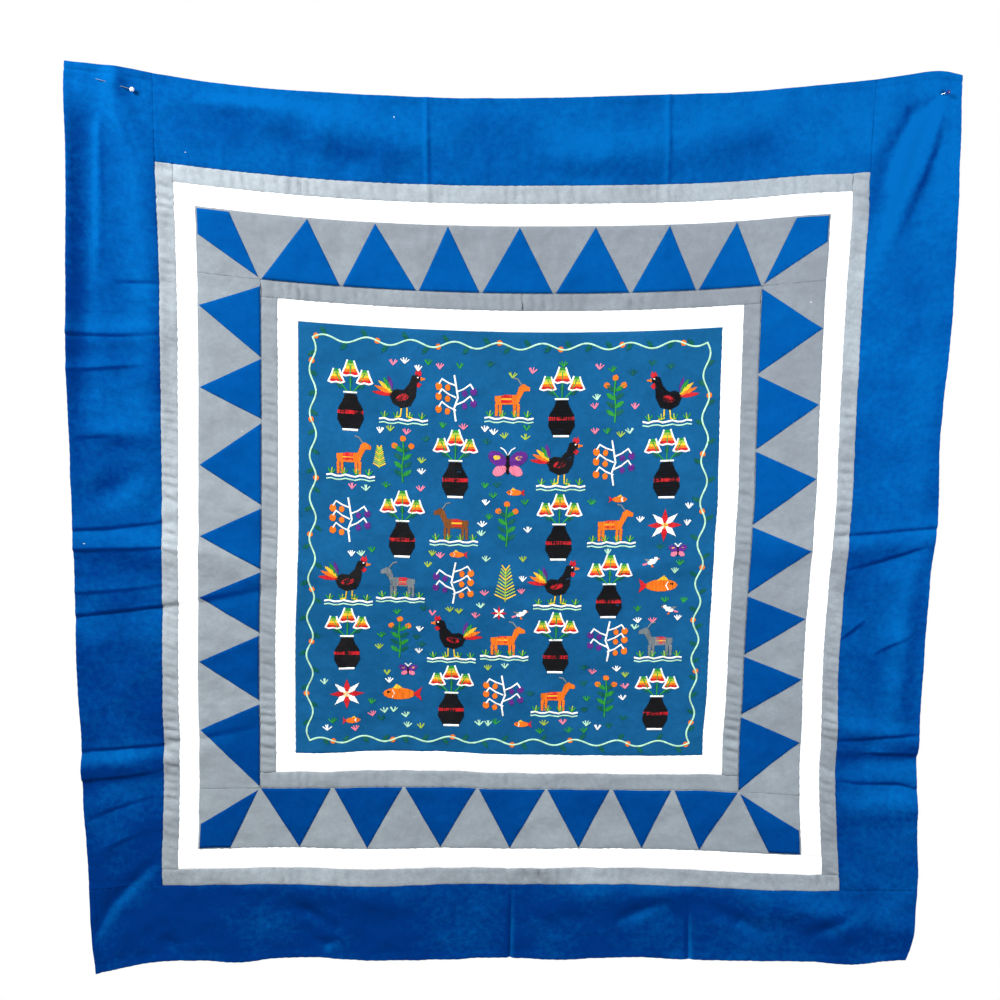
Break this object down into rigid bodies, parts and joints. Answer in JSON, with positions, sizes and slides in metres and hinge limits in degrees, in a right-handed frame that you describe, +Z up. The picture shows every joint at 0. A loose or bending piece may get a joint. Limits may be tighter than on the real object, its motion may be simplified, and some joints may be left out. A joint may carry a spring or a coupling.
{
  "type": "embroidered story cloth hanging with pins",
  "caption": "Square pieced and embroidered cloth hanging with nested borders, hung from a straight pin at each top corner.",
  "frame": {"origin": "midway between the two top corners, in the plane of the hanging, where it is held", "axes": "+X to the viewer's right, +Z up, front of the cloth faces -Y"},
  "size_m": [0.91, 0.0215, 0.97],
  "materials": {
    "panel_cloth": "matte plain weave cotton with embroidery",
    "blue_cloth": "matte plain weave cotton",
    "grey_cloth": "matte plain weave cotton",
    "white_cloth": "matte plain weave cotton",
    "pin_steel": "polished",
    "white_head": "gloss",
    "navy_head": "gloss"
  },
  "bodies": {
    "root": {"centre_panel": "panel_cloth", "inner_white_left": "white_cloth", "inner_white_right": "white_cloth", "inner_white_top": "white_cloth", "inner_white_bottom": "white_cloth", "inner_grey_left": "grey_cloth", "inner_grey_right": "grey_cloth", "inner_grey_top_a": "grey_cloth", "inner_grey_top_b": "grey_cloth", "inner_grey_bottom": "grey_cloth", "triangle_band_left": "grey_cloth", "triangle_band_right": "grey_cloth", "triangle_band_top": "grey_cloth", "triangle_band_bottom": "grey_cloth", "outer_white_left": "white_cloth", "outer_white_right": "white_cloth", "outer_white_top": "white_cloth", "outer_white_bottom": "white_cloth", "outer_grey_left": "grey_cloth", "outer_grey_right": "grey_cloth", "outer_grey_top": "grey_cloth", "outer_grey_bottom": "grey_cloth", "blue_border_left": "blue_cloth", "blue_border_right": "blue_cloth", "blue_border_top": "blue_cloth", "blue_border_bottom_a": "blue_cloth", "blue_border_bottom_b": "blue_cloth", "pin_left_shaft": "pin_steel", "pin_left_head": "white_head", "pin_right_shaft": "pin_steel", "pin_right_head": "navy_head"}
  },
  "joints": []
}
